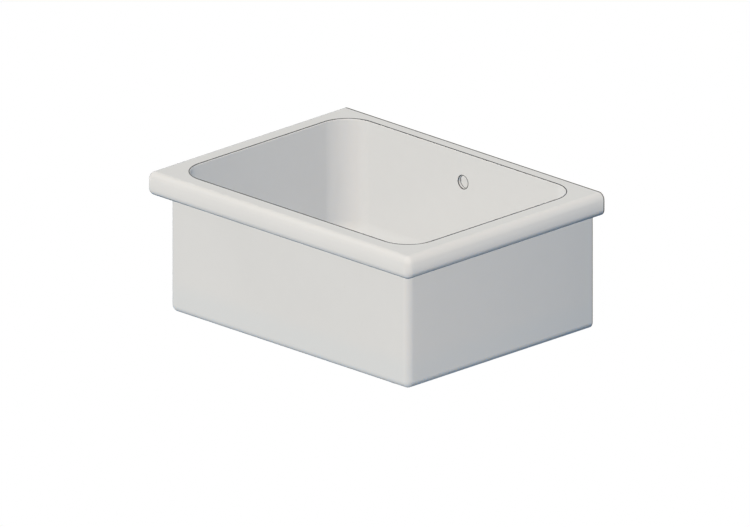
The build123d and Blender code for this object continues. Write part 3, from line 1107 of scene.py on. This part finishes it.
@dataclass
class LiftBasket:
    """Basket that lifts out of the cup, with its seal, pin and turned knob."""

    finishes: Finishes
    knob_base: float = -0.182
    knob_shoulder: float = -0.174
    knob_top: float = -0.168
    waist_radius: float = 0.006
    knob_radius: float = 0.010
    edge_radius: float = 0.002
    crown: float = 0.0006
    cove_power: int = 4
    cove_points: int = 24
    edge_points: int = 10
    crown_points: int = 12
    knob_sides: int = 96
    knob_crease: float = 50.0

    def build(self) -> None:
        """Turn the knob."""
        radius, level = self._knob_profile()
        mesh = turned("turned_knob", radius, level, self.knob_sides, False, self.knob_crease)
        self.finishes.add("turned_knob", mesh, Slot.KNOB, Rider.BASKET, "basket_knob")

    def dress(self) -> None:
        """Give the basket and everything on it their finishes."""
        self.finishes.dress(Slot.SHEET, "strainer_basket")
        self.finishes.dress(Slot.RUBBER, "basket_seal")
        self.finishes.dress(Slot.FASTENER, "seal_plate", "basket_pin", "pin_clip")
        self.finishes.dress(Slot.KNOB, "basket_knob")

    def _knob_profile(self) -> tuple[np.ndarray, np.ndarray]:
        """Draw the knob's outline: a stem, a cove, a rounded rim and a low crown.

        The cove's radius grows with a power of the share of its height. The rim is a half
        circle flattened between its two edge arcs, and the crown falls with the square of the
        distance from the axis.

        Returns:
            The radii and the levels, from the foot's middle up the outside to the crown.
        """
        share = np.linspace(0.0, 1.0, self.cove_points)
        under = self.knob_radius - self.edge_radius
        cove_radius = self.waist_radius + (under - self.waist_radius) * share**self.cove_power
        cove_level = self.knob_base + (self.knob_shoulder - self.knob_base) * share
        lower = np.linspace(-np.pi / 2, 0.0, self.edge_points)[1:]
        upper = np.linspace(0.0, np.pi / 2, self.edge_points)
        rim_top = self.knob_top - self.crown - self.edge_radius
        rim_base = self.knob_shoulder + self.edge_radius
        rim_angle = np.concatenate((lower, upper))
        rim_middle = np.repeat((rim_base, rim_top), (lower.size, upper.size))
        rim_radius = under + self.edge_radius * np.cos(rim_angle)
        rim_level = rim_middle + self.edge_radius * np.sin(rim_angle)
        inward = np.linspace(1.0, 0.0, self.crown_points)[1:]
        crown_radius = under * inward
        crown_level = self.knob_top - self.crown * inward**2
        radius = np.concatenate(([0.0], cove_radius, rim_radius, crown_radius))
        level = np.concatenate(([self.knob_base], cove_level, rim_level, crown_level))
        return radius, level


@dataclass(frozen=True)
class Lamp:
    """One distant soft lamp that casts no shadow and shows in no mirror.

    Its light is its colour times its strength on a face square to it.
    """

    toward: Point
    light: Colour

    def hang(self) -> None:
        """Hang the lamp."""
        strength = max(self.light)
        light = bpy.data.lights.new("soft_lamp", "SUN")
        light.energy = strength
        light.color = [share / strength for share in self.light]
        light.use_shadow = False
        lamp = bpy.data.objects.new("soft_lamp", light)
        lamp.rotation_mode = "QUATERNION"
        lamp.rotation_quaternion = Vector(self.toward).to_track_quat("Z", "Y")
        lamp.visible_glossy = False
        lamp.visible_camera = False
        bpy.context.scene.collection.objects.link(lamp)


SOFT_LAMPS: tuple[Lamp, ...] = (
    Lamp((-1, 0, 0), (1.123, 1.093, 1.058)),
    Lamp((-1, 1, 1), (0.154, 0.147, 0.105)),
    Lamp((0, -1, 0), (0.416, 0.402, 0.398)),
    Lamp((-2, -1, 1), (0.275, 0.290, 0.280)),
    Lamp((-1, -2, 1), (0.549, 0.574, 0.581)),
    Lamp((-1, 2, -1), (0.088, 0.038, 0.000)),
    Lamp((1, -2, -1), (0.329, 0.328, 0.309)),
    Lamp((1, -2, 1), (1.578, 1.445, 1.329)),
    Lamp((1, 1, 2), (1.301, 1.275, 1.243)),
    Lamp((1, 2, 1), (0.132, 0.116, 0.115)),
    Lamp((2, 1, -1), (0.242, 0.352, 0.454)),
    Lamp((-1, 0, -2), (0.000, 0.075, 0.136)),
    Lamp((0, -2, -1), (0.213, 0.281, 0.337)),
    Lamp((0, 2, 1), (0.161, 0.218, 0.265)),
    Lamp((1, 0, -2), (0.000, 0.050, 0.170)),
    Lamp((1, 0, 2), (0.402, 0.395, 0.380)),
    Lamp((-2, 2, -1), (0.420, 0.370, 0.320)),
)


@dataclass
class Studio:
    """Pale floor, plain soft light and the camera at the photograph's angle."""

    pixels_per_metre: float = 617.66
    azimuth: float = 45.0
    elevation: float = math.degrees(math.asin(1 / 3))
    look_at: Point = (-0.07812, -0.14735, -0.13846)
    camera_distance: float = 4.0
    floor_level: float = -0.81
    floor_half: float = 6.0
    ambient: Colour = (0.030, 0.035, 0.040)
    mirrored_wall: Colour = (0.51, 0.53, 0.56)
    mirrored_ceiling: Colour = (0.86, 0.88, 0.90)
    mirrored_sides: float = 0.40
    mirrored_floor: Colour = (0.06, 0.09, 0.13)
    lamps: tuple[Lamp, ...] = SOFT_LAMPS

    def build(self) -> None:
        """Set up the whole studio."""
        self._camera()
        self._world()
        self._floor()
        for lamp in self.lamps:
            lamp.hang()
        bpy.context.scene.view_settings.view_transform = "Standard"
        bpy.context.scene.view_settings.look = "None"
        bpy.context.scene.cycles.diffuse_bounces = 0

    def _camera(self) -> None:
        """Stand a parallel-view camera at the photograph's angle."""
        turn = math.radians(self.azimuth)
        tilt = math.radians(self.elevation)
        level = math.cos(tilt)
        away = Vector((math.sin(turn) * level, -math.cos(turn) * level, math.sin(tilt)))
        camera = bpy.data.objects.new("camera", bpy.data.cameras.new("camera"))
        camera.data.type = "ORTHO"
        camera.data.ortho_scale = PHOTO_WIDTH / self.pixels_per_metre
        camera.location = Vector(self.look_at) + away * self.camera_distance
        camera.rotation_mode = "QUATERNION"
        camera.rotation_quaternion = (-away).to_track_quat("-Z", "Y")
        bpy.context.scene.collection.objects.link(camera)
        bpy.context.scene.camera = camera

    def _surroundings(self, sheet: Sheet, kind: str, mirrored: Input) -> Socket:
        """Glow white to the camera and in another colour in reflections.

        Args:
            sheet: The sheet of the world or the floor.
            kind: The type name of the node that glows.
            mirrored: The colour in reflections.

        Returns:
            The glow.
        """
        path = sheet.add("ShaderNodeLightPath").outputs
        seen = sheet.blend(path["Is Glossy Ray"], rgba(self.ambient), mirrored)
        seen = sheet.blend(path["Is Camera Ray"], seen, rgba(WHITE))
        return sheet.add(kind, {"Color": seen, "Strength": 1.0}).outputs[0]

    def _world(self) -> None:
        """Even cool light on a white ground, whose reflection brightens up and to the sides.

        The share of the ceiling's tone is the square of the upward part of the direction. The
        squares of its two level parts, one less the other, then lighten the left and right walls
        and darken the front and back ones.
        """
        world = bpy.data.worlds.new("studio")
        world.use_nodes = True
        sheet = Sheet(world.node_tree)
        x, y, z = sheet.axes(sheet.add("ShaderNodeTexCoord").outputs["Generated"])
        up = sheet.largest(z, 0.0)
        share = sheet.product(up, up)
        room = sheet.blend(share, rgba(self.mirrored_wall), rgba(self.mirrored_ceiling))
        aside = sheet.math("SUBTRACT", sheet.product(x, x), sheet.product(y, y))
        lift = sheet.math("MULTIPLY_ADD", aside, self.mirrored_sides, 1.0)
        mirrored = sheet.scaled(room, lift)
        light = self._surroundings(sheet, "ShaderNodeBackground", mirrored)
        sheet.add("ShaderNodeOutputWorld", {"Surface": light})
        bpy.context.scene.world = world

    def _floor(self) -> None:
        """Lay a pale floor, clear from below, at the height of an installed sink."""
        half = self.floor_half
        corners = [(-half, -half), (half, -half), (half, half), (-half, half)]
        mesh = bpy.data.meshes.new("floor")
        mesh.from_pydata([(x, y, self.floor_level) for x, y in corners], [], [(0, 1, 2, 3)])
        floor = bpy.data.objects.new("floor", mesh)
        bpy.context.scene.collection.objects.link(floor)
        sheet, material = open_material("pale_floor")
        light = self._surroundings(sheet, "ShaderNodeEmission", rgba(self.mirrored_floor))
        clear = sheet.add("ShaderNodeBsdfTransparent").outputs[0]
        below = sheet.add("ShaderNodeNewGeometry").outputs["Backfacing"]
        surface = sheet.add("ShaderNodeMixShader", {0: below, 1: light, 2: clear})
        sheet.add("ShaderNodeOutputMaterial", {"Surface": surface.outputs[0]})
        mesh.materials.append(material)


def clear_startup() -> None:
    """Remove the objects that a new file starts with."""
    for name in STARTUP_OBJECTS:
        if name in bpy.data.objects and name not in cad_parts:
            bpy.data.objects.remove(bpy.data.objects[name])


def main() -> None:
    """Build the sink's classes in order."""
    logging.basicConfig(level=logging.INFO, format="%(name)s: %(message)s")
    clear_startup()
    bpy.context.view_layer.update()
    finishes = Finishes(Effects(), BasinPlan())
    Basin(finishes).dress()
    for assembly in (StrainerCup(finishes), WasteOutlet(finishes), LiftBasket(finishes)):
        assembly.build()
        assembly.dress()
    Studio().build()


if __name__ == "__main__":
    main()
